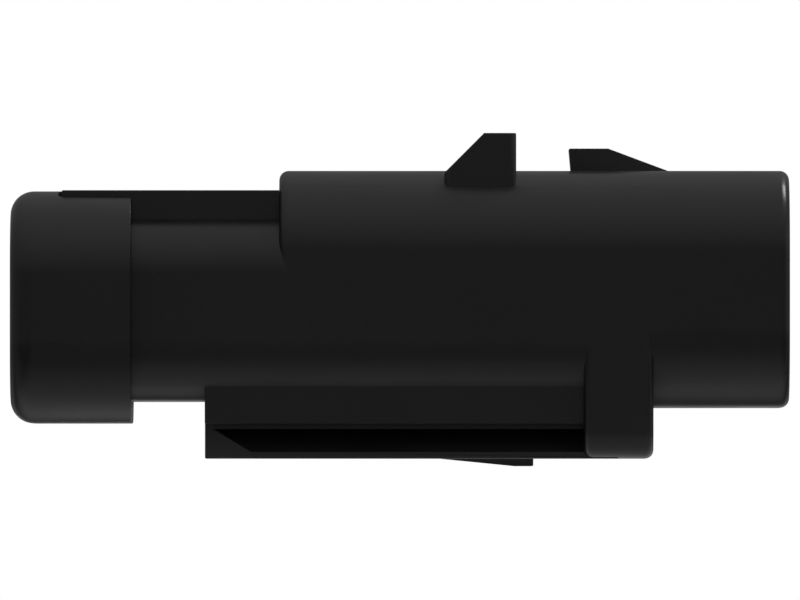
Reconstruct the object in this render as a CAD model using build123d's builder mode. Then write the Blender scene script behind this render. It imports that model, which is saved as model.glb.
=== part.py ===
from build123d import *

import os
from math import radians, tan

# Sealed in-line pin receptacle for two wires, with a clip rail underneath and a snap-on end cap.
# +X points out of the mating mouth, +Z is up through the latch ramp, and Y runs across the two contacts.
# The origin lies on the level of the lowest point, under the middle of the length. Sizes are millimetres.

# Contacts, from the crimp barrel to the tip
contact_pitch = 6.0
crimp_radius = 0.9
crimp_wall = 0.4
crimp_depth = 5.6
crimp_floor = 0.8
groove_depth = 0.35
groove_length = 1.5
ring_length = 1.0
ring_step = 0.45
shoulder_length = 0.9
shoulder_step = 0.4
shank_step = 0.26
pin_radius = 0.79
pin_length = 9.1
pin_nose_length = 0.6
pin_nose_step = 0.4

# Contact carrier inside the housing, with one locking finger under each contact
carrier_wall = 1.0
carrier_nose = 2.0
passage_clearance = 0.1
finger_length = 6.5
finger_width = 2.4
finger_slit = 0.5
tooth_length = 0.8
tooth_gap = 0.2
tooth_clearance = 0.15

# Wedge lock, pushed on from the mouth
lock_plate = 2.9
lock_side = 0.6
lock_corner_radius = 2.2
lock_edge_radius = 0.3
lock_clearance = 0.15
lock_seat_gap = 0.1
lock_floor_gap = 0.4
lock_hole_clearance = 0.25
lock_hole_lead_in = 0.4
tongue_length = 5.6
tongue_width = 10.4
tongue_taper = 0.5
detent_height = 0.12
detent_length = 0.8
detent_width = 3.0
detent_setback = 1.4
pull_slot_width = 1.4
pull_slot_height = 4.0
pull_slot_depth = 1.7

# Mating shroud and front section
shroud_length = 32.75
shroud_wall = 1.6
shroud_corner_radius = 5.1
plug_gap_side = 1.8
plug_gap_top = 4.18
plug_gap_bottom = 1.85
mouth_radius = 0.6
mouth_lead_in = 0.45
step_radius = 0.6
stop_setback = 23.6

# Neck: the rear of the housing, which holds the wire seal and carries the end cap
neck_length = 9.5
neck_wall = 1.4
neck_corner_radius = 3.85
well_gap = 1.45
seal_pocket_depth = 8.6
bulkhead = 1.6

# Cap rails on top of the neck, which run into slots of the end cap
rail_width = 1.8
rail_inset = 2.1
rail_rise = 1.46
rail_end_gap = 0.2

# End cap
cap_length = 7.75
cap_wall = 1.35
cap_end_wall = 2.0
cap_rear_radius = 1.5
cap_fit = 0.05
cap_lead_in = 0.3
cap_slot_setback = 3.1
cap_slot_clearance = 0.1
wire_entry_radius = 2.2
wire_entry_lead_in = 0.4

# Snap lugs on the sides of the neck, which hold the end cap
lug_height = 0.4
lug_width = 4.0
lug_flat = 0.9
lug_ramp = 1.1
lug_setback = 1.7
lug_clearance = 0.1

# Wire seal
seal_fit = 0.05
seal_rib_height = 0.45
seal_rib_length = 1.4
seal_bore_radius = 1.9
seal_lip_height = 0.7
seal_lip_length = 1.2
seal_lip_setback = 0.6

# Latch ramp on top of the shroud, and its two guard ears
latch_width = 5.6
latch_height = 1.46
latch_flat = 2.53
latch_run = 3.9
latch_undercut_angle = 5.0
latch_setback = 7.7
ear_thickness = 1.6
ear_inset = 2.0
ear_height = 2.4
ear_flat = 2.06
ear_length = 4.6
ear_corner_radius = 0.35
ear_setback = 17.54

# Clip rail under the housing, with its stop collar and locking bump
clip_depth = 3.67
clip_inset = 1.3
clip_length = 24.3
clip_lip = 0.43
clip_slope_rise = 1.48
clip_groove_height = 0.32
clip_groove_depth = 1.8
clip_lead_in_length = 2.97
clip_lead_in_depth = 2.19
collar_length = 4.47
collar_setback = 8.75
collar_corner_radius = 1.83
collar_edge = 0.32
bump_height = 0.48
bump_width = 4.4
bump_flat = 1.2
bump_run = 4.83
bump_side_run = 0.8
bump_setback = 3.2
core_width = 1.7
core_depth = 2.5
core_gap = 0.5
core_end_wall = 2.4

# Contact and lock radii, each from the one inside it
barrel_radius = crimp_radius + crimp_wall
barrel_length = crimp_depth + crimp_floor
groove_radius = barrel_radius - groove_depth
shank_radius = pin_radius + shank_step
shoulder_radius = shank_radius + shoulder_step
ring_radius = shoulder_radius + ring_step
throat_radius = shoulder_radius + passage_clearance
passage_radius = ring_radius + passage_clearance
carrier_radius = passage_radius + carrier_wall
lock_hole_radius = shank_radius + lock_hole_clearance

# Sections, from the carrier out to the body
body_width = contact_pitch + 2 * (carrier_radius + plug_gap_side + shroud_wall)
neck_height = 2 * (carrier_radius + well_gap + shroud_wall)
cavity_top = carrier_radius + plug_gap_top
cavity_bottom = carrier_radius + plug_gap_bottom
shroud_height = cavity_top + cavity_bottom + 2 * shroud_wall
shroud_offset = (cavity_top - cavity_bottom) / 2

# Places along the part
overall_length = cap_length + neck_length + shroud_length
rear_x = -overall_length / 2
neck_rear_x = rear_x + cap_end_wall
cap_front_x = rear_x + cap_length
step_x = cap_front_x + neck_length
mouth_x = step_x + shroud_length
pocket_floor_x = neck_rear_x + seal_pocket_depth
well_floor_x = pocket_floor_x + bulkhead
cavity_floor_x = step_x + shroud_wall
collar_x = mouth_x - collar_setback - collar_length
collar_mid_x = collar_x + collar_length / 2
clip_rear_x = collar_x - clip_length
stop_x = mouth_x - stop_setback
tooth_x = stop_x - ring_length - tooth_gap
carrier_front_x = stop_x + carrier_nose
lock_rear_x = carrier_front_x + lock_seat_gap
lock_front_x = lock_rear_x + lock_plate
pin_tip_x = lock_front_x + pin_length
rail_rear_x = rear_x + cap_slot_setback + rail_end_gap

# Heights, from the lowest point, which is the underside of the locking bump
base_z = bump_height
axis_z = base_z + clip_depth + neck_height / 2
neck_top_z = axis_z + neck_height / 2
neck_bottom_z = axis_z - neck_height / 2
shroud_top_z = axis_z + cavity_top + shroud_wall
shroud_mid_z = axis_z + shroud_offset

# Places across the part
contact_ys = (-contact_pitch / 2, contact_pitch / 2)
rail_y = body_width / 2 - rail_inset - rail_width / 2
ear_y = body_width / 2 - ear_inset - ear_thickness / 2
clip_half_width = body_width / 2 - clip_inset
contact_places = [(y, axis_z) for y in contact_ys]


# Front section: a round-topped body over the width of the neck, which runs forward into the collar
with BuildPart() as front_section:
    with BuildSketch(Plane.YZ.offset(step_x)) as front_profile:
        with Locations((0, (shroud_top_z + neck_bottom_z) / 2)):
            Rectangle(body_width, shroud_top_z - neck_bottom_z)
        fillet(front_profile.vertices().group_by(Axis.Y)[-1], shroud_corner_radius)
        fillet(front_profile.vertices().group_by(Axis.Y)[0], neck_corner_radius)
    extrude(amount=collar_mid_x - step_x)
    fillet(front_section.faces().sort_by(Axis.X)[0].edges(), step_radius)

# Stop collar: flush with the sides of the body and as deep as the clip rail
with BuildPart() as stop_collar:
    with BuildSketch(Plane.YZ.offset(collar_x)) as collar_profile:
        with Locations((0, (base_z + axis_z) / 2)):
            Rectangle(body_width, axis_z - base_z)
        fillet(collar_profile.vertices().group_by(Axis.Y)[0], collar_corner_radius)
    extrude(amount=collar_length)
    chamfer(stop_collar.faces().sort_by(Axis.X)[0].edges(), collar_edge)
    chamfer(stop_collar.faces().sort_by(Axis.X)[-1].edges(), collar_edge)

# Shroud: the round-cornered tube from the collar to the mouth
with BuildPart() as shroud:
    with BuildSketch(Plane.YZ.offset(collar_mid_x)):
        with Locations((0, shroud_mid_z)):
            RectangleRounded(body_width, shroud_height, shroud_corner_radius)
    extrude(amount=mouth_x - collar_mid_x)
    fillet(shroud.faces().sort_by(Axis.X)[-1].edges(), mouth_radius)

# Clip rail: a block, a narrower web and a flange whose upper face slopes down to a thin lip
block_z = base_z + clip_lip + clip_slope_rise + clip_groove_height
web_half_width = clip_half_width - clip_groove_depth
with BuildPart() as clip_rail:
    with BuildSketch(Plane.YZ.offset(clip_rear_x)):
        with BuildLine():
            Polyline(
                (0, base_z),
                (clip_half_width, base_z),
                (clip_half_width, base_z + clip_lip),
                (web_half_width, base_z + clip_lip + clip_slope_rise),
                (web_half_width, block_z),
                (clip_half_width, block_z),
                (clip_half_width, neck_bottom_z + neck_corner_radius),
                (0, neck_bottom_z + neck_corner_radius),
            )
            mirror(about=Plane.YZ)
        make_face()
    extrude(amount=collar_mid_x - clip_rear_x)

    # Lead-in that narrows the flange and the web at the rear end
    with BuildSketch(Plane.XY.offset(base_z)):
        with BuildLine():
            Polyline(
                (clip_rear_x, clip_half_width - clip_lead_in_depth),
                (clip_rear_x + clip_lead_in_length, clip_half_width),
                (clip_rear_x + clip_lead_in_length, body_width),
                (clip_rear_x - clip_inset, body_width),
                (clip_rear_x - clip_inset, clip_half_width - clip_lead_in_depth),
                close=True,
            )
        make_face()
        mirror(about=Plane.XZ)
    extrude(amount=block_z - base_z, mode=Mode.SUBTRACT)

# Locking bump: a ramp with sloping sides under the rail, which ends in a square face
bump_front_x = collar_x - bump_setback
with BuildPart() as locking_bump:
    with BuildSketch(Plane.XZ):
        with BuildLine():
            Polyline(
                (bump_front_x, base_z + clip_lip),
                (bump_front_x, 0),
                (bump_front_x - bump_flat, 0),
                (bump_front_x - bump_flat - bump_run, base_z),
                (bump_front_x - bump_flat - bump_run, base_z + clip_lip),
                close=True,
            )
        make_face()
    extrude(amount=bump_width, both=True)
    with BuildSketch(Plane.YZ.offset(bump_front_x)):
        with BuildLine():
            Polyline(
                (-bump_width / 2, 0),
                (bump_width / 2, 0),
                (bump_width / 2 + bump_side_run, base_z),
                (bump_width / 2 + bump_side_run, base_z + clip_lip),
                (-bump_width / 2 - bump_side_run, base_z + clip_lip),
                (-bump_width / 2 - bump_side_run, base_z),
                close=True,
            )
        make_face()
    extrude(amount=-bump_flat - bump_run, mode=Mode.INTERSECT)

# Guard ears: upright posts with rounded corners and a 45 degree slope at the rear
ear_front_x = mouth_x - ear_setback
ear_rear_x = ear_front_x - ear_length
ear_foot_z = shroud_mid_z + cavity_top - shroud_corner_radius
ear_top_z = shroud_top_z + ear_height
with BuildPart() as guard_ears:
    with BuildSketch(Plane.XY.offset(ear_foot_z)):
        with Locations((ear_front_x - ear_length / 2, -ear_y), (ear_front_x - ear_length / 2, ear_y)):
            RectangleRounded(ear_length, ear_thickness, ear_corner_radius)
    extrude(amount=ear_top_z - ear_foot_z)
    with BuildSketch(Plane.XZ):
        with BuildLine():
            Polyline(
                (ear_front_x - ear_flat, ear_top_z),
                (ear_rear_x, ear_top_z - ear_length + ear_flat),
                (ear_rear_x, ear_top_z),
                close=True,
            )
        make_face()
    extrude(amount=body_width, both=True, mode=Mode.SUBTRACT)

with BuildPart() as housing:
    add(front_section.part)
    add(shroud.part)
    add(stop_collar.part)
    add(clip_rail.part)
    add(locking_bump.part)
    add(guard_ears.part)

    # Neck, from the end wall of the cap into the front section
    with BuildSketch(Plane.YZ.offset(neck_rear_x)):
        with Locations((0, axis_z)):
            RectangleRounded(body_width, neck_height, neck_corner_radius)
    extrude(amount=collar_mid_x - neck_rear_x)

    # Cap rails
    rail_top_z = neck_top_z + rail_rise
    with BuildSketch(Plane.YZ.offset(rail_rear_x)):
        with Locations((-rail_y, (axis_z + rail_top_z) / 2), (rail_y, (axis_z + rail_top_z) / 2)):
            Rectangle(rail_width, rail_top_z - axis_z)
    extrude(amount=cavity_floor_x - rail_rear_x)

    # Snap lugs for the cap
    lug_front_x = cap_front_x - lug_setback
    with BuildSketch(Plane.XY.offset(axis_z)):
        with BuildLine():
            Polyline(
                (lug_front_x, 0),
                (lug_front_x, body_width / 2 + lug_height),
                (lug_front_x - lug_flat, body_width / 2 + lug_height),
                (lug_front_x - lug_flat - lug_ramp, body_width / 2),
                (lug_front_x - lug_flat - lug_ramp, 0),
                close=True,
            )
        make_face()
        mirror(about=Plane.XZ)
    extrude(amount=lug_width / 2, both=True)

    # Latch ramp, with a back face that leans over the latch of the plug
    latch_toe_x = mouth_x - latch_setback
    latch_back_x = latch_toe_x - latch_run - latch_flat
    latch_undercut = latch_height * tan(radians(latch_undercut_angle))
    with BuildSketch(Plane.XZ):
        with BuildLine():
            Polyline(
                (latch_toe_x, shroud_top_z - shroud_wall / 2),
                (latch_toe_x, shroud_top_z),
                (latch_toe_x - latch_run, shroud_top_z + latch_height),
                (latch_back_x, shroud_top_z + latch_height),
                (latch_back_x + latch_undercut, shroud_top_z),
                (latch_back_x + latch_undercut, shroud_top_z - shroud_wall / 2),
                close=True,
            )
        make_face()
    extrude(amount=latch_width / 2, both=True)

    # Pocket for the wire seal
    with BuildSketch(Plane.YZ.offset(neck_rear_x)):
        with Locations((0, axis_z)):
            RectangleRounded(
                body_width - 2 * neck_wall,
                neck_height - 2 * neck_wall,
                neck_corner_radius - neck_wall,
            )
    extrude(amount=seal_pocket_depth, mode=Mode.SUBTRACT)

    # Mating cavity
    with BuildSketch(Plane.YZ.offset(cavity_floor_x)):
        with Locations((0, shroud_mid_z)):
            RectangleRounded(
                body_width - 2 * shroud_wall,
                shroud_height - 2 * shroud_wall,
                shroud_corner_radius - shroud_wall,
            )
    extrude(amount=mouth_x - cavity_floor_x, mode=Mode.SUBTRACT)
    chamfer(housing.faces().sort_by(Axis.X)[-1].inner_wires()[0].edges(), mouth_lead_in)

    # Well round the carrier, inside the neck
    with BuildSketch(Plane.YZ.offset(well_floor_x)):
        with Locations((0, axis_z)):
            RectangleRounded(
                body_width - 2 * shroud_wall,
                neck_height - 2 * shroud_wall,
                neck_corner_radius - shroud_wall,
            )
    extrude(amount=cavity_floor_x - well_floor_x, mode=Mode.SUBTRACT)

    # Contact carrier
    with BuildSketch(Plane.YZ.offset(well_floor_x)):
        with Locations((0, axis_z)):
            SlotCenterToCenter(contact_pitch, 2 * carrier_radius)
    extrude(amount=carrier_front_x - well_floor_x)

    # Contact passages, each with a narrower throat that stops the ring of the contact
    with BuildSketch(Plane.YZ.offset(pocket_floor_x)):
        with Locations(*contact_places):
            Circle(passage_radius)
    extrude(amount=stop_x - pocket_floor_x, mode=Mode.SUBTRACT)
    with BuildSketch(Plane.YZ.offset(stop_x)):
        with Locations(*contact_places):
            Circle(throat_radius)
    extrude(amount=carrier_nose, mode=Mode.SUBTRACT)

    # Slits that free the locking fingers under the contacts
    finger_root_x = tooth_x - finger_length
    with BuildSketch(Plane.XY.offset(axis_z)):
        with Locations(*[((finger_root_x + tooth_x + finger_slit) / 2, y) for y in contact_ys]):
            Rectangle(finger_length + finger_slit, finger_width + 2 * finger_slit)
        with Locations(*[((finger_root_x + tooth_x) / 2, y) for y in contact_ys]):
            Rectangle(finger_length, finger_width, mode=Mode.SUBTRACT)
    extrude(amount=-carrier_radius - finger_slit, mode=Mode.SUBTRACT)

    # Teeth on the fingers, which drop in behind the rings of the contacts
    tooth_z = axis_z - groove_radius - tooth_clearance
    tooth_root_z = axis_z - passage_radius - carrier_wall / 2
    for contact_y in contact_ys:
        with BuildSketch(Plane.XZ.offset(-contact_y)):
            with BuildLine():
                Polyline(
                    (tooth_x, tooth_root_z),
                    (tooth_x, tooth_z),
                    (tooth_x - tooth_length, tooth_z),
                    (tooth_x - tooth_length - tooth_z + tooth_root_z, tooth_root_z),
                    close=True,
                )
            make_face()
        extrude(amount=finger_width / 2, both=True)

    # Detent groove across the top of the carrier
    detent_x = carrier_front_x - detent_setback
    with BuildSketch(Plane.XZ):
        with Locations((detent_x, axis_z + carrier_radius)):
            Rectangle(detent_length + 2 * lock_clearance, 2 * detent_height)
    extrude(amount=detent_width / 2 + lock_clearance, both=True, mode=Mode.SUBTRACT)

    # Cores from the underside of the clip rail, one each side of the locking bump
    core_y = bump_width / 2 + bump_side_run + core_gap + core_width / 2
    core_rear_x = clip_rear_x + core_end_wall
    core_length = collar_x - core_end_wall - core_rear_x
    with BuildSketch(Plane.XY.offset(base_z)):
        with Locations((core_rear_x + core_length / 2, -core_y), (core_rear_x + core_length / 2, core_y)):
            SlotOverall(core_length, core_width)
    extrude(amount=core_depth, mode=Mode.SUBTRACT)
housing.part.label = "housing"

# End cap: a cup over the neck, with slots for the cap rails and a hole for each wire
with BuildPart() as end_cap:
    with BuildSketch(Plane.YZ.offset(rear_x)):
        with Locations((0, axis_z)):
            RectangleRounded(
                body_width + 2 * (cap_fit + cap_wall),
                neck_height + 2 * (cap_fit + cap_wall),
                neck_corner_radius + cap_fit + cap_wall,
            )
    extrude(amount=cap_length)
    fillet(end_cap.faces().sort_by(Axis.X)[0].edges(), cap_rear_radius)
    with BuildSketch(Plane.YZ.offset(neck_rear_x)):
        with Locations((0, axis_z)):
            RectangleRounded(
                body_width + 2 * cap_fit,
                neck_height + 2 * cap_fit,
                neck_corner_radius + cap_fit,
            )
    extrude(amount=cap_front_x - neck_rear_x, mode=Mode.SUBTRACT)
    chamfer(end_cap.faces().sort_by(Axis.X)[-1].inner_wires()[0].edges(), cap_lead_in)

    # Slots for the cap rails, open at the front
    slot_rear_x = rear_x + cap_slot_setback
    slot_corner_radius = rail_end_gap + cap_slot_clearance
    with BuildSketch(Plane.XY.offset(axis_z)) as slot_outline:
        with Locations(((slot_rear_x + cap_front_x) / 2, -rail_y), ((slot_rear_x + cap_front_x) / 2, rail_y)):
            Rectangle(cap_front_x - slot_rear_x, rail_width + 2 * cap_slot_clearance)
        fillet(slot_outline.vertices().group_by(Axis.X)[0], slot_corner_radius)
    extrude(amount=neck_height, mode=Mode.SUBTRACT)

    # Blind recesses inside the side walls, which the snap lugs drop into
    with BuildSketch(Plane.XY.offset(axis_z)):
        with Locations((lug_front_x - (lug_flat + lug_ramp) / 2, 0)):
            Rectangle(
                lug_flat + lug_ramp + 2 * lug_clearance,
                body_width + 2 * (lug_height + lug_clearance),
            )
    extrude(amount=lug_width / 2 + lug_clearance, both=True, mode=Mode.SUBTRACT)

    # Wire entries
    with BuildSketch(Plane.YZ.offset(rear_x)):
        with Locations(*contact_places):
            Circle(wire_entry_radius)
    extrude(amount=cap_end_wall, mode=Mode.SUBTRACT)
    entry_rims = end_cap.faces().sort_by(Axis.X)[0].inner_wires().edges()
    chamfer(entry_rims, wire_entry_lead_in)
end_cap.part.label = "end_cap"

# Wire seal: a soft block with a rib round each end and a sealing lip in each wire hole
seal_rear_x = neck_rear_x + seal_fit
seal_length = seal_pocket_depth - 2 * seal_fit
seal_width = body_width - 2 * (neck_wall + seal_fit)
seal_height = neck_height - 2 * (neck_wall + seal_fit)
seal_corner_radius = neck_corner_radius - neck_wall - seal_fit
seal_lip_radius = seal_bore_radius - seal_lip_height
with BuildPart() as rear_seal:
    with BuildSketch(Plane.YZ.offset(seal_rear_x)):
        with Locations((0, axis_z)):
            RectangleRounded(
                seal_width - 2 * seal_rib_height,
                seal_height - 2 * seal_rib_height,
                seal_corner_radius - seal_rib_height,
            )
    extrude(amount=seal_length)
    for rib_x in (seal_rear_x, seal_rear_x + seal_length - seal_rib_length):
        with BuildSketch(Plane.YZ.offset(rib_x)):
            with Locations((0, axis_z)):
                RectangleRounded(seal_width, seal_height, seal_corner_radius)
        extrude(amount=seal_rib_length)
    with BuildSketch(Plane.YZ.offset(seal_rear_x)):
        with Locations(*contact_places):
            Circle(seal_bore_radius)
    extrude(amount=seal_length, mode=Mode.SUBTRACT)
    with BuildSketch(Plane.YZ.offset(seal_rear_x + seal_lip_setback)):
        with Locations(*contact_places):
            Circle(seal_bore_radius)
            Circle(seal_lip_radius, mode=Mode.SUBTRACT)
    extrude(amount=seal_lip_length)
rear_seal.part.label = "rear_seal"

# Wedge lock: a plate in front of the carrier, with a tongue above it and one that backs up the fingers
lock_half_width = contact_pitch / 2 + carrier_radius + lock_side
lock_half_height = cavity_bottom - lock_floor_gap
tongue_inner = carrier_radius + lock_clearance
tongue_rear_x = lock_rear_x - tongue_length
with BuildPart() as wedge_lock:
    with BuildSketch(Plane.YZ.offset(lock_rear_x)):
        with Locations((0, axis_z)):
            RectangleRounded(2 * lock_half_width, 2 * lock_half_height, lock_corner_radius)
    extrude(amount=lock_plate)
    chamfer(wedge_lock.faces().sort_by(Axis.X)[-1].edges(), lock_edge_radius)

    # Tongues, tapered on the outside of their tips
    with BuildSketch(Plane.XZ):
        with BuildLine():
            Polyline(
                (lock_rear_x, axis_z + tongue_inner),
                (tongue_rear_x, axis_z + tongue_inner),
                (tongue_rear_x, axis_z + lock_half_height - tongue_taper),
                (tongue_rear_x + tongue_length / 2, axis_z + lock_half_height),
                (lock_rear_x, axis_z + lock_half_height),
                close=True,
            )
        make_face()
        mirror(about=Plane.XZ.offset(-axis_z))
    extrude(amount=tongue_width / 2, both=True)

    # Detent nub on the inner face of the upper tongue
    with BuildSketch(Plane.XZ):
        with Locations((detent_x, axis_z + tongue_inner)):
            Rectangle(detent_length, 2 * detent_height)
    extrude(amount=detent_width / 2, both=True)

    # Holes for the pins
    with BuildSketch(Plane.YZ.offset(lock_rear_x)):
        with Locations(*contact_places):
            Circle(lock_hole_radius)
    extrude(amount=lock_plate, mode=Mode.SUBTRACT)
    pin_rims = wedge_lock.faces().sort_by(Axis.X)[-1].inner_wires().edges()
    chamfer(pin_rims, lock_hole_lead_in)

    # Slot for the tool that pulls the lock out
    with BuildSketch(Plane.YZ.offset(lock_front_x)):
        with Locations((0, axis_z)):
            SlotOverall(pull_slot_height, pull_slot_width, rotation=90)
    extrude(amount=-pull_slot_depth, mode=Mode.SUBTRACT)
wedge_lock.part.label = "wedge_lock"

# Pin contact, turned in one piece about its own axis
barrel_front_x = stop_x - ring_length - groove_length
barrel_rear_x = barrel_front_x - barrel_length
with BuildPart() as pin_contact:
    with BuildSketch(Plane.XZ):
        with BuildLine():
            Polyline(
                (barrel_rear_x, 0),
                (barrel_rear_x, barrel_radius),
                (barrel_front_x, barrel_radius),
                (barrel_front_x, groove_radius),
                (stop_x - ring_length, groove_radius),
                (stop_x - ring_length, ring_radius),
                (stop_x, ring_radius),
                (stop_x, shoulder_radius),
                (stop_x + shoulder_length, shoulder_radius),
                (stop_x + shoulder_length, shank_radius),
                (lock_front_x, shank_radius),
                (lock_front_x, pin_radius),
                (pin_tip_x - pin_nose_length, pin_radius),
                (pin_tip_x, pin_radius - pin_nose_step),
                (pin_tip_x, 0),
                close=True,
            )
        make_face()
    revolve(axis=Axis.X)

    # Crimp bore
    with BuildSketch(Plane.YZ.offset(barrel_rear_x)):
        Circle(crimp_radius)
    extrude(amount=crimp_depth, mode=Mode.SUBTRACT)

os.makedirs("parts", exist_ok=True)
export_step(housing.part, "parts/housing.step")
export_step(end_cap.part, "parts/end_cap.step")
export_step(rear_seal.part, "parts/rear_seal.step")
export_step(wedge_lock.part, "parts/wedge_lock.step")
for number, contact_y in enumerate(contact_ys, start=1):
    placed_contact = pin_contact.part.moved(Location((0, contact_y, axis_z)))
    placed_contact.label = f"pin_contact_{number}"
    export_step(placed_contact, f"parts/pin_contact_{number}.step")
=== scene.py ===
import math

import bmesh
import bpy
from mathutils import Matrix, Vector


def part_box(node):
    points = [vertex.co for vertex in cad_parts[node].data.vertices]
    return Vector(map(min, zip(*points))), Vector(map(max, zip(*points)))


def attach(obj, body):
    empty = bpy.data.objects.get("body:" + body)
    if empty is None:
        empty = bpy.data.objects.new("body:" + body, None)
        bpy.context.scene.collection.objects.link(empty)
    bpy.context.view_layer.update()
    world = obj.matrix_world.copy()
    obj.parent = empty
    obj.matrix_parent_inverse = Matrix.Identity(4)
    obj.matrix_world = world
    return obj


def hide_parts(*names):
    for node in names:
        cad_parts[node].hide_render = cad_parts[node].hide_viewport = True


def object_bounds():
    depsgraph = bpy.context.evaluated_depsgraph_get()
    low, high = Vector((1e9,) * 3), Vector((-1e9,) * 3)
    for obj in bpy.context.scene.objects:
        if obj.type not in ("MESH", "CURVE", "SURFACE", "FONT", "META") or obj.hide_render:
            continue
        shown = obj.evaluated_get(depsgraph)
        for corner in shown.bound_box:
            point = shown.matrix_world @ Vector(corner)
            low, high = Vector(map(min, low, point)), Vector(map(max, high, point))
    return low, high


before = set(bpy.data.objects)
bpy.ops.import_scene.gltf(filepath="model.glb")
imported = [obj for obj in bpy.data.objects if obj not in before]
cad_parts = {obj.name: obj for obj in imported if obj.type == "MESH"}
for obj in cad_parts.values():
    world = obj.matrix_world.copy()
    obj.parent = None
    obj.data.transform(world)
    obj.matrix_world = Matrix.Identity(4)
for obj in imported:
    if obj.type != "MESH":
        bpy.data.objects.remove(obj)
mm = 0.001

# Blender's own start-up objects are in the way of the first measurement
for strayName in ("Cube", "Light", "Camera"):
    stray = bpy.data.objects.get(strayName)
    if stray:
        bpy.data.objects.remove(stray)
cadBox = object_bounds()
print("frame loaded:", sorted(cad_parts))


# sRGB hex to the linear colour that the shaders read
def linearColour(hexText):
    channels = [int(hexText[start:start + 2], 16) / 255 for start in (1, 3, 5)]
    return [c / 12.92 if c <= 0.04045 else ((c + 0.055) / 1.055) ** 2.4 for c in channels] + [1.0]


# One node with its settings and what feeds it: a key that names an input sets that input
def addNode(tree, kind, settings=None, links=None):
    node = tree.nodes.new(kind)
    for key, value in (settings or {}).items():
        if isinstance(key, int) or key in node.inputs:
            node.inputs[key].default_value = value
        else:
            setattr(node, key, value)
    for key, source in (links or {}).items():
        tree.links.new(source, node.inputs[key])
    return node


# An empty material with its shader already on the output
def startMaterial(name, shaderSettings):
    material = bpy.data.materials.new(name)
    material.use_nodes = True
    tree = material.node_tree
    tree.nodes.clear()
    shader = addNode(tree, "ShaderNodeBsdfPrincipled", shaderSettings)
    addNode(tree, "ShaderNodeOutputMaterial", None, {"Surface": shader.outputs["BSDF"]})
    return material, tree, shader


# Black glass-filled nylon, injection moulded in a spark-eroded tool: a satin skin with a fine even
# grain, and slow patches of more and less gloss where the melt flowed. Grain drawn at 0.16 mm,
# about twice the real one, so that it shows. The pigment is all but black, and what shows is its sheen
nylonLook = {
    "dark": "#080808",
    "light": "#0c0c0c",
    "roughLow": 0.28,
    "roughHigh": 0.36,
    "grain": 0.16 * mm,
    "grainDepth": 0.006 * mm,
    "flow": 6.0 * mm,
    "flowLow": 0.35,
    "flowHigh": 0.65,
    "specular": 0.23,
}


def mouldedNylon(name, look):
    material, tree, shader = startMaterial(name, {"IOR": 1.53, "Specular IOR Level": look["specular"]})
    place = addNode(tree, "ShaderNodeTexCoord")
    flow = addNode(
        tree, "ShaderNodeTexNoise", {"Scale": 1 / look["flow"], "Detail": 3.0},
        {"Vector": place.outputs["Object"]},
    )
    grain = addNode(
        tree, "ShaderNodeTexNoise", {"Scale": 1 / look["grain"], "Detail": 2.0, "Roughness": 0.6},
        {"Vector": place.outputs["Object"]},
    )
    colour = addNode(
        tree, "ShaderNodeMix",
        {"data_type": "RGBA", 6: linearColour(look["dark"]), 7: linearColour(look["light"])},
        {0: grain.outputs["Fac"]},
    )
    rough = addNode(
        tree, "ShaderNodeMapRange",
        {
            "From Min": look["flowLow"], "From Max": look["flowHigh"],
            "To Min": look["roughLow"], "To Max": look["roughHigh"],
        },
        {"Value": flow.outputs["Fac"]},
    )
    bump = addNode(
        tree, "ShaderNodeBump", {"Strength": 1.0, "Distance": look["grainDepth"]},
        {"Height": grain.outputs["Fac"]},
    )
    tree.links.new(colour.outputs[2], shader.inputs["Base Color"])
    tree.links.new(rough.outputs["Result"], shader.inputs["Roughness"])
    tree.links.new(bump.outputs["Normal"], shader.inputs["Normal"])
    return material


# Orange liquid silicone rubber, moulded: matt, soft to the light, with a dusty bloom
siliconeLook = {
    "deep": "#b8431c",
    "bloom": "#c8552b",
    "grain": 0.25 * mm,
    "grainDepth": 0.004 * mm,
    "glowDepth": 0.4 * mm,
    "glowShare": 0.15,
}


def mouldedSilicone(name, look):
    material, tree, shader = startMaterial(
        name,
        {
            "IOR": 1.41,
            "Roughness": 0.55,
            "Subsurface Weight": look["glowShare"],
            "Subsurface Radius": (1.0, 0.35, 0.15),
            "Subsurface Scale": look["glowDepth"],
        },
    )
    place = addNode(tree, "ShaderNodeTexCoord")
    grain = addNode(
        tree, "ShaderNodeTexNoise", {"Scale": 1 / look["grain"], "Detail": 3.0},
        {"Vector": place.outputs["Object"]},
    )
    colour = addNode(
        tree, "ShaderNodeMix",
        {"data_type": "RGBA", 6: linearColour(look["deep"]), 7: linearColour(look["bloom"])},
        {0: grain.outputs["Fac"]},
    )
    bump = addNode(
        tree, "ShaderNodeBump", {"Strength": 1.0, "Distance": look["grainDepth"]},
        {"Height": grain.outputs["Fac"]},
    )
    tree.links.new(colour.outputs[2], shader.inputs["Base Color"])
    tree.links.new(bump.outputs["Normal"], shader.inputs["Normal"])
    return material


# Orange polybutylene terephthalate, injection moulded in a polished tool: an even, slightly waxy gloss
lockLook = {
    "deep": "#c9560f",
    "light": "#d4631a",
    "roughLow": 0.3,
    "roughHigh": 0.42,
    "grain": 0.3 * mm,
    "grainDepth": 0.003 * mm,
    "grainLow": 0.3,
    "grainHigh": 0.7,
}


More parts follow.
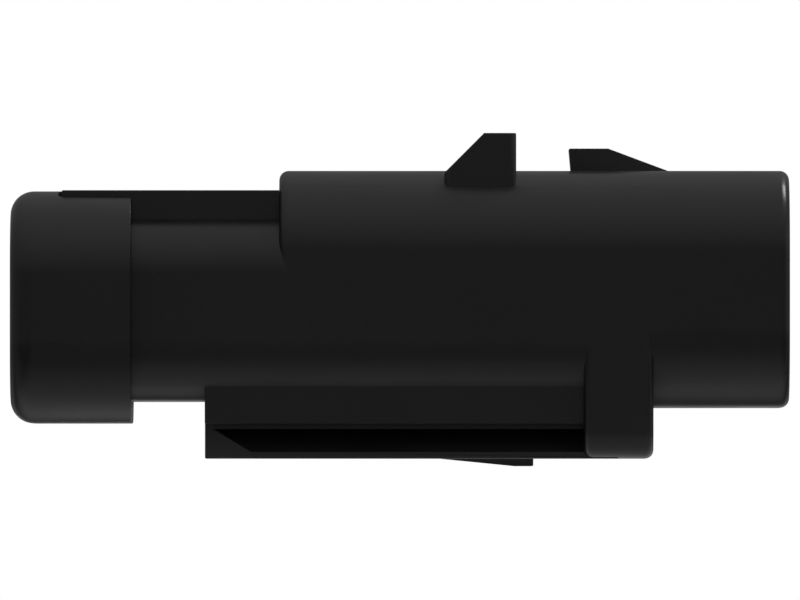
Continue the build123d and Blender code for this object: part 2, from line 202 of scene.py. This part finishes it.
def mouldedPolyester(name, look):
    material, tree, shader = startMaterial(name, {"IOR": 1.57, "Specular IOR Level": 0.45})
    place = addNode(tree, "ShaderNodeTexCoord")
    grain = addNode(
        tree, "ShaderNodeTexNoise", {"Scale": 1 / look["grain"], "Detail": 3.0},
        {"Vector": place.outputs["Object"]},
    )
    colour = addNode(
        tree, "ShaderNodeMix",
        {"data_type": "RGBA", 6: linearColour(look["deep"]), 7: linearColour(look["light"])},
        {0: grain.outputs["Fac"]},
    )
    rough = addNode(
        tree, "ShaderNodeMapRange",
        {
            "From Min": look["grainLow"], "From Max": look["grainHigh"],
            "To Min": look["roughLow"], "To Max": look["roughHigh"],
        },
        {"Value": grain.outputs["Fac"]},
    )
    bump = addNode(
        tree, "ShaderNodeBump", {"Strength": 1.0, "Distance": look["grainDepth"]},
        {"Height": grain.outputs["Fac"]},
    )
    tree.links.new(colour.outputs[2], shader.inputs["Base Color"])
    tree.links.new(rough.outputs["Result"], shader.inputs["Roughness"])
    tree.links.new(bump.outputs["Normal"], shader.inputs["Normal"])
    return material


# Copper alloy, turned on a lathe and nickel plated: a bright, slightly warm silver with fine rings
# round it. The rings are 0.08 mm apart, twice the real feed, so that they show
pinLook = {
    "bright": "#d9d5cc",
    "dull": "#bfbab0",
    "roughLow": 0.16,
    "roughHigh": 0.3,
    "ring": 0.08 * mm,
    "ringDepth": 0.0015 * mm,
    "ringWaver": 0.6,
    "cloud": 0.9 * mm,
    "cloudLow": 0.3,
    "cloudHigh": 0.7,
}


def turnedNickel(name, look):
    material, tree, shader = startMaterial(name, {"Metallic": 1.0})
    place = addNode(tree, "ShaderNodeTexCoord")
    rings = addNode(
        tree, "ShaderNodeTexWave",
        {
            "bands_direction": "X", "Distortion": look["ringWaver"],
            "Scale": math.tau / (20 * look["ring"]),  # the node draws a band every tau / 20 at a scale of 1
        },
        {"Vector": place.outputs["Object"]},
    )
    cloud = addNode(
        tree, "ShaderNodeTexNoise", {"Scale": 1 / look["cloud"], "Detail": 4.0},
        {"Vector": place.outputs["Object"]},
    )
    colour = addNode(
        tree, "ShaderNodeMix",
        {"data_type": "RGBA", 6: linearColour(look["bright"]), 7: linearColour(look["dull"])},
        {0: cloud.outputs["Fac"]},
    )
    rough = addNode(
        tree, "ShaderNodeMapRange",
        {
            "From Min": look["cloudLow"], "From Max": look["cloudHigh"],
            "To Min": look["roughLow"], "To Max": look["roughHigh"],
        },
        {"Value": cloud.outputs["Fac"]},
    )
    bump = addNode(
        tree, "ShaderNodeBump", {"Strength": 1.0, "Distance": look["ringDepth"]},
        {"Height": rings.outputs["Fac"]},
    )
    tree.links.new(colour.outputs[2], shader.inputs["Base Color"])
    tree.links.new(rough.outputs["Result"], shader.inputs["Roughness"])
    tree.links.new(bump.outputs["Normal"], shader.inputs["Normal"])
    return material


blackNylon = mouldedNylon("mouldedBlackNylon", nylonLook)
orangeSilicone = mouldedSilicone("mouldedOrangeSilicone", siliconeLook)
orangePolyester = mouldedPolyester("mouldedOrangePolyester", lockLook)
platedPin = turnedNickel("turnedNickelPlate", pinLook)
print("materials made")


# How far a face reaches back from one of its edges
def depthFrom(edge, face):
    start, end = (point.co for point in edge.verts)
    along = (end - start).normalized()
    offsets = [point.co - start for point in face.verts]
    return max((offset - along * offset.dot(along)).length for offset in offsets)


def roundEdges(skin, edges, width, steps):
    bmesh.ops.bevel(
        skin, geom=edges, offset=width, offset_type="OFFSET", segments=steps,
        profile=0.5, affect="EDGES", material=-1, loop_slide=True,
    )


# Sharp where faces meet steeply, in a hollow bend sooner than over a corner, and at a slighter bend
# where both are flats and not part of a curve
creaseLook = {
    "steep": math.radians(35),
    "hollow": math.radians(20),
    "slight": math.radians(12),
    "flat": 0.7 * mm,
}


def isCrease(edge, look):
    if not edge.is_manifold:
        return False
    bend = edge.calc_face_angle()
    flats = bend > look["slight"] and min(depthFrom(edge, face) for face in edge.link_faces) > look["flat"]
    return bend > (look["steep"] if edge.is_convex else look["hollow"]) or flats


def finishPiece(skin, pieceName):
    bmesh.ops.recalc_face_normals(skin, faces=skin.faces)
    for face in skin.faces:
        face.smooth = True
    for edge in skin.edges:
        edge.smooth = not isCrease(edge, creaseLook)
    mesh = bpy.data.meshes.new(pieceName)
    skin.to_mesh(mesh)
    skin.free()
    piece = bpy.data.objects.new(pieceName, mesh)
    bpy.context.scene.collection.objects.link(piece)
    shading = piece.modifiers.new("evenShading", "WEIGHTED_NORMAL")
    shading.mode = "FACE_AREA_WITH_ANGLE"
    shading.keep_sharp = True
    return piece


# An edge is rounded where the faces on both its sides are deeper than this many rounds
roomForRound = 3


# A copy of a CAD node as one clean skin: its loose triangles are merged, its flats are made whole,
# and its outer corners get the small round that every moulded edge has. Chamfers that stand for a
# full round, between the given places along X, are rounded first. Angles are in degrees
def roundedCopy(nodeName, pieceName, look):
    skin = bmesh.new()
    skin.from_mesh(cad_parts[nodeName].data)
    bmesh.ops.remove_doubles(skin, verts=skin.verts, dist=look["merge"])
    bmesh.ops.dissolve_limit(
        skin, angle_limit=math.radians(look["flatWithin"]), verts=skin.verts, edges=skin.edges
    )
    for low, high in look.get("chamfers", ()):
        slight, steep = (math.radians(bend) for bend in look["chamferBends"])
        bends = [
            edge for edge in skin.edges
            if edge.is_manifold and edge.is_convex
            and slight < edge.calc_face_angle() < steep
            and all(low < point.co.x < high for point in edge.verts)
        ]
        print(pieceName, "chamfer edges rounded:", len(bends))
        roundEdges(skin, bends, look["chamferRound"], look["steps"])
    corners = [
        edge for edge in skin.edges
        if edge.is_manifold and edge.is_convex
        and edge.calc_face_angle() > math.radians(look["corner"])
        and min(depthFrom(edge, face) for face in edge.link_faces) > roomForRound * look["round"]
    ]
    roundEdges(skin, corners, look["round"], look["steps"])
    return finishPiece(skin, pieceName)


# Puts a finished piece on its body, in place of its CAD node
def seatPiece(piece, nodeName, bodyName, finish):
    piece.data.materials.clear()
    piece.data.materials.append(finish)
    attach(piece, bodyName)
    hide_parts(nodeName)


# The stop collar, from the mouth: both its ends have a chamfer in the CAD that is a round here
collarPlace = {"setback": 8.75 * mm, "length": 4.47 * mm, "chamfer": 0.32 * mm, "slack": 0.01 * mm}
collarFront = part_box("housing")[1].x - collarPlace["setback"]
collarRear = collarFront - collarPlace["length"]
chamferReach = collarPlace["chamfer"] + collarPlace["slack"]

housingEdges = {
    "merge": 0.001 * mm,
    "flatWithin": 0.5,
    "corner": 62,
    "round": 0.08 * mm,
    "steps": 2,
    "chamfers": (
        (collarRear - collarPlace["slack"], collarRear + chamferReach),
        (collarFront - chamferReach, collarFront + collarPlace["slack"]),
    ),
    "chamferBends": (40, 50),
    "chamferRound": 0.2 * mm,
}
housingShell = roundedCopy("housing", "housingShell", housingEdges)
seatPiece(housingShell, "housing", "housing_body", blackNylon)

capEdges = {"merge": 0.001 * mm, "flatWithin": 0.5, "corner": 75, "round": 0.08 * mm, "steps": 2}
endCap = roundedCopy("end_cap", "endCap", capEdges)
seatPiece(endCap, "end_cap", "housing_body", blackNylon)

sealEdges = {"merge": 0.001 * mm, "flatWithin": 0.5, "corner": 62, "round": 0.25 * mm, "steps": 3}
wireSeal = roundedCopy("rear_seal", "wireSeal", sealEdges)
seatPiece(wireSeal, "rear_seal", "housing_body", orangeSilicone)

lockEdges = {"merge": 0.001 * mm, "flatWithin": 0.5, "corner": 62, "round": 0.12 * mm, "steps": 3}
wedgeLock = roundedCopy("wedge_lock", "wedgeLock", lockEdges)
seatPiece(wedgeLock, "wedge_lock", "wedge_lock_body", orangePolyester)

# Pin contact, from the middle of its tip to the middle of its crimp bore: how far each corner lies
# behind the tip, and its radius. The first two corners after the tip's middle make the bullet nose
contactLook = {
    "corners": (
        (0.0, 0.0), (0.0, 0.39), (0.6, 0.79), (9.1, 0.79), (9.1, 1.05), (13.2, 1.05), (13.2, 1.45),
        (14.1, 1.45), (14.1, 1.9), (15.1, 1.9), (15.1, 0.95), (16.6, 0.95), (16.6, 1.3), (23.0, 1.3),
        (23.0, 0.9), (17.4, 0.9), (17.4, 0.0),
    ),
    "noseRound": 0.3 * mm,
    "noseSteps": 4,
    "edgeRound": 0.06 * mm,
    "edgeSteps": 2,
    "turnSteps": 48,
    "merge": 0.001 * mm,
}


def turnContact(nodeName, pieceName, look):
    low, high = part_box(nodeName)
    middle = (low + high) / 2
    skin = bmesh.new()
    points = [
        skin.verts.new((high.x - back * mm, middle.y, middle.z + radius * mm))
        for back, radius in look["corners"]
    ]
    for start, end in zip(points, points[1:]):
        skin.edges.new((start, end))
    rounds = (
        (points[1:3], look["noseRound"], look["noseSteps"]),
        (points[3:-1], look["edgeRound"], look["edgeSteps"]),
    )
    for corners, width, steps in rounds:
        bmesh.ops.bevel(
            skin, geom=corners, offset=width, offset_type="OFFSET", segments=steps,
            profile=0.5, affect="VERTICES", material=-1,
        )
    bmesh.ops.spin(
        skin, geom=skin.verts[:] + skin.edges[:], cent=(0, middle.y, middle.z), axis=(1, 0, 0),
        angle=math.tau, steps=look["turnSteps"], use_merge=True,
    )
    bmesh.ops.remove_doubles(skin, verts=skin.verts, dist=look["merge"])
    return finishPiece(skin, pieceName)


for number in (1, 2):
    contact = turnContact(f"pin_contact_{number}", f"pinContact{number}", contactLook)
    seatPiece(contact, f"pin_contact_{number}", "housing_body", platedPin)
print("pieces made")

# White floor: matt where the shadow falls, and white to the camera further out. What the part mirrors of it
# is painted by place: a painted shadow under the part, white along its sides, and painted grey past its ends
# and further out
floorLook = {
    "radius": 900 * mm,
    "segments": 96,
    "colour": "#f4f4f4",
    "fadeStart": 90 * mm,
    "fadeEnd": 260 * mm,
    "paintedShadowUnder": 0.13,
    "underStart": 1.5 * mm,
    "underEnd": 7.5 * mm,
    "besideShade": 0.93,
    "paintedGreyAside": 0.33,
    "asideStart": 7.0 * mm,
    "asideEnd": 20.0 * mm,
    "paintedGreyEnds": 0.45,
    "endStart": 24.0 * mm,
    "endEnd": 32.0 * mm,
}


def layFloor(look):
    disc = bmesh.new()
    bmesh.ops.create_circle(disc, cap_ends=True, segments=look["segments"], radius=look["radius"])
    mesh = bpy.data.meshes.new("floor")
    disc.to_mesh(mesh)
    disc.free()
    floor = bpy.data.objects.new("floor", mesh)
    bpy.context.scene.collection.objects.link(floor)
    material, tree, shader = startMaterial(
        "mattPaperFloor",
        {"Base Color": linearColour(look["colour"]), "Roughness": 0.9, "Specular IOR Level": 0.0},
    )
    path = addNode(tree, "ShaderNodeLightPath")
    mirrored = addNode(
        tree, "ShaderNodeMath", {"operation": "ADD", "use_clamp": True},
        {0: path.outputs["Is Glossy Ray"], 1: path.outputs["Is Transmission Ray"]},
    )
    place = addNode(tree, "ShaderNodeTexCoord")
    away = addNode(tree, "ShaderNodeVectorMath", {"operation": "LENGTH"}, {0: place.outputs["Object"]})
    fade = addNode(
        tree, "ShaderNodeMapRange",
        {"interpolation_type": "SMOOTHSTEP", "From Min": look["fadeStart"], "From Max": look["fadeEnd"]},
        {"Value": away.outputs["Value"]},
    )
    far = addNode(
        tree, "ShaderNodeMath", {"operation": "MULTIPLY"},
        {0: path.outputs["Is Camera Ray"], 1: fade.outputs["Result"]},
    )
    share = addNode(
        tree, "ShaderNodeMath", {"operation": "ADD", "use_clamp": True},
        {0: mirrored.outputs["Value"], 1: far.outputs["Value"]},
    )
    # The floor's tone in reflections, painted by place alone: a painted shadow in a strip under the part,
    # white along its sides, painted grey past its ends and further out
    parts = addNode(tree, "ShaderNodeSeparateXYZ", None, {"Vector": place.outputs["Object"]})
    across = addNode(tree, "ShaderNodeMath", {"operation": "ABSOLUTE"}, {0: parts.outputs["Y"]})
    under = addNode(
        tree, "ShaderNodeMapRange",
        {
            "interpolation_type": "SMOOTHSTEP", "From Min": look["underStart"], "From Max": look["underEnd"],
            "To Min": look["paintedShadowUnder"],
        },
        {"Value": across.outputs["Value"]},
    )
    aside = addNode(
        tree, "ShaderNodeMapRange",
        {
            "From Min": look["asideStart"], "From Max": look["asideEnd"],
            "To Min": look["besideShade"], "To Max": look["paintedGreyAside"],
        },
        {"Value": across.outputs["Value"]},
    )
    along = addNode(tree, "ShaderNodeMath", {"operation": "ABSOLUTE"}, {0: parts.outputs["X"]})
    ends = addNode(
        tree, "ShaderNodeMapRange",
        {
            "interpolation_type": "SMOOTHSTEP", "From Min": look["endStart"], "From Max": look["endEnd"],
            "To Min": 1.0, "To Max": look["paintedGreyEnds"],
        },
        {"Value": along.outputs["Value"]},
    )
    sides = addNode(
        tree, "ShaderNodeMath", {"operation": "MULTIPLY"},
        {0: under.outputs["Result"], 1: aside.outputs["Result"]},
    )
    shade = addNode(
        tree, "ShaderNodeMath", {"operation": "MULTIPLY"},
        {0: sides.outputs["Value"], 1: ends.outputs["Result"]},
    )
    strength = addNode(
        tree, "ShaderNodeMix", {"data_type": "FLOAT", 2: 1.0},
        {0: mirrored.outputs["Value"], 3: shade.outputs["Value"]},
    )
    white = addNode(
        tree, "ShaderNodeEmission", {"Color": linearColour("#ffffff")}, {"Strength": strength.outputs[0]}
    )
    mix = addNode(
        tree, "ShaderNodeMixShader", None,
        {0: share.outputs["Value"], 1: shader.outputs["BSDF"], 2: white.outputs["Emission"]},
    )
    output = next(node for node in tree.nodes if node.type == "OUTPUT_MATERIAL")
    tree.links.new(mix.outputs["Shader"], output.inputs["Surface"])
    floor.data.materials.append(material)


layFloor(floorLook)

# White surroundings to the eye, in metal and through glass, and a softer light on matt surfaces
worldLook = {"seen": 1.0, "lights": 0.5}


def setWorld(look):
    world = bpy.data.worlds.new("studio")
    world.use_nodes = True
    tree = world.node_tree
    tree.nodes.clear()
    path = addNode(tree, "ShaderNodeLightPath")
    seen = addNode(
        tree, "ShaderNodeMath", {"operation": "ADD"},
        {0: path.outputs["Is Camera Ray"], 1: path.outputs["Is Glossy Ray"]},
    )
    share = addNode(
        tree, "ShaderNodeMath", {"operation": "ADD", "use_clamp": True},
        {0: seen.outputs["Value"], 1: path.outputs["Is Transmission Ray"]},
    )
    strength = addNode(
        tree, "ShaderNodeMapRange", {"To Min": look["lights"], "To Max": look["seen"]},
        {"Value": share.outputs["Value"]},
    )
    background = addNode(
        tree, "ShaderNodeBackground", {"Color": linearColour("#ffffff")},
        {"Strength": strength.outputs["Result"]},
    )
    addNode(tree, "ShaderNodeOutputWorld", None, {"Surface": background.outputs["Background"]})
    bpy.context.scene.world = world


setWorld(worldLook)

# Painted shade in reflections: a grey dome round the table, seen only in reflections. It lets the white room
# through overhead, dims it down to the horizon on the camera's side, holds it back low down behind, and
# opens before the mouth
paintedShadeLook = {
    "radius": 700 * mm,
    "segments": 64,
    "rings": 32,
    "horizon": 0.41,
    "clearFrom": 0.82,
    "behindLow": 0.22,
    "behindHigh": 0.7,
    "behindRise": 3.0,
    "sideFrom": 0.7,
    "sideTo": -0.3,
    "mouthFrom": 0.9,
    "mouthOpen": 0.6,
}


def raisePaintedShadeDome(look):
    dome = bmesh.new()
    bmesh.ops.create_uvsphere(
        dome, u_segments=look["segments"], v_segments=look["rings"], radius=look["radius"]
    )
    mesh = bpy.data.meshes.new("paintedShadeDome")
    dome.to_mesh(mesh)
    dome.free()
    shadeDome = bpy.data.objects.new("paintedShadeDome", mesh)
    bpy.context.scene.collection.objects.link(shadeDome)
    material = bpy.data.materials.new("paintedReflectionShade")
    material.use_nodes = True
    tree = material.node_tree
    tree.nodes.clear()
    place = addNode(tree, "ShaderNodeTexCoord")
    toward = addNode(
        tree, "ShaderNodeVectorMath", {"operation": "NORMALIZE"}, {0: place.outputs["Object"]}
    )
    parts = addNode(tree, "ShaderNodeSeparateXYZ", None, {"Vector": toward.outputs["Vector"]})
    front = addNode(
        tree, "ShaderNodeMapRange", {"From Max": look["clearFrom"], "To Min": look["horizon"]},
        {"Value": parts.outputs["Z"]},
    )
    height = addNode(
        tree, "ShaderNodeMath", {"operation": "POWER", 1: look["behindRise"]}, {0: parts.outputs["Z"]}
    )
    behind = addNode(
        tree, "ShaderNodeMapRange", {"To Min": look["behindLow"], "To Max": look["behindHigh"]},
        {"Value": height.outputs["Value"]},
    )
    side = addNode(
        tree, "ShaderNodeMapRange", {"From Min": look["sideFrom"], "From Max": look["sideTo"]},
        {"Value": parts.outputs["Y"]},
    )
    room = addNode(
        tree, "ShaderNodeMix", {"data_type": "FLOAT"},
        {0: side.outputs["Result"], 2: behind.outputs["Result"], 3: front.outputs["Result"]},
    )
    mouth = addNode(
        tree, "ShaderNodeMapRange",
        {"interpolation_type": "SMOOTHSTEP", "From Min": look["mouthFrom"], "To Max": look["mouthOpen"]},
        {"Value": parts.outputs["X"]},
    )
    tone = addNode(
        tree, "ShaderNodeMath", {"operation": "ADD", "use_clamp": True},
        {0: room.outputs[0], 1: mouth.outputs["Result"]},
    )
    # Painted shade: the dome lets through only this share of the white beyond it, so reflections show it
    # darker, and brighter before the mouth
    paintedShadeFilter = addNode(tree, "ShaderNodeBsdfTransparent", None, {"Color": tone.outputs["Value"]})
    addNode(tree, "ShaderNodeOutputMaterial", None, {"Surface": paintedShadeFilter.outputs["BSDF"]})
    mesh.materials.append(material)
    shadeDome.visible_camera = False
    shadeDome.visible_diffuse = False
    shadeDome.visible_transmission = False
    shadeDome.visible_volume_scatter = False
    shadeDome.visible_shadow = False


raisePaintedShadeDome(paintedShadeLook)

# Soft boxes: one overhead, one high at the mouth end, and a low one that lights the inside of the mouth
lampLooks = {
    "overheadBox": {
        "place": (0, -60 * mm, 330 * mm),
        "size": (500 * mm, 400 * mm),
        "watts": 0.4,
        "mirrored": False,
    },
    "mouthBox": {
        "place": (250 * mm, 130 * mm, 395 * mm),
        "size": (160 * mm, 160 * mm),
        "watts": 1.1,
        "mirrored": True,
    },
    "mouthFill": {
        "place": (420 * mm, -20 * mm, 90 * mm),
        "size": (160 * mm, 160 * mm),
        "watts": 0.65,
        "mirrored": False,
    },
}
aimPoint = (cadBox[0] + cadBox[1]) / 2
for lampName, look in lampLooks.items():
    light = bpy.data.lights.new(lampName, "AREA")
    light.shape = "RECTANGLE"
    light.size, light.size_y = look["size"]
    light.energy = look["watts"]
    lamp = bpy.data.objects.new(lampName, light)
    lamp.location = look["place"]
    lamp.visible_glossy = look["mirrored"]
    lamp.rotation_euler = (aimPoint - lamp.location).to_track_quat("-Z", "Y").to_euler()
    bpy.context.scene.collection.objects.link(lamp)

# The photograph's frame: a long lens square to the side, at the height of the floor
photo = {
    "width": 800,
    "height": 600,
    "pixel": 0.064176 * mm,
    "rearPixel": 10.4,
    "lowestPixel": 466.2,
    "lens": 1100,
    "sensor": 36,
    "depth": 3.1 * mm,  # the pixel size holds this far behind the nearest side
    "clipNear": 0.1,  # both as shares of the distance
    "clipFar": 3.0,
}


def setCamera(view):
    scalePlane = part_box("housing")[0].y + view["depth"]
    distance = view["width"] / 2 * view["pixel"] * view["lens"] / (view["sensor"] / 2)
    aim = Vector((
        cadBox[0].x + (view["width"] / 2 - view["rearPixel"]) * view["pixel"],
        scalePlane,
        cadBox[0].z + (view["lowestPixel"] - view["height"] / 2) * view["pixel"],
    ))
    data = bpy.data.cameras.new("photoCamera")
    data.lens = view["lens"]
    data.sensor_width = view["sensor"]
    data.clip_start = distance * view["clipNear"]
    data.clip_end = distance * view["clipFar"]
    camera = bpy.data.objects.new("photoCamera", data)
    camera.location = (aim.x, scalePlane - distance, 0)
    camera.rotation_euler = (aim - camera.location).to_track_quat("-Z", "Y").to_euler()
    bpy.context.scene.collection.objects.link(camera)
    bpy.context.scene.camera = camera


setCamera(photo)
bpy.context.scene.view_settings.view_transform = "Standard"
print("stage, lamps and camera set")
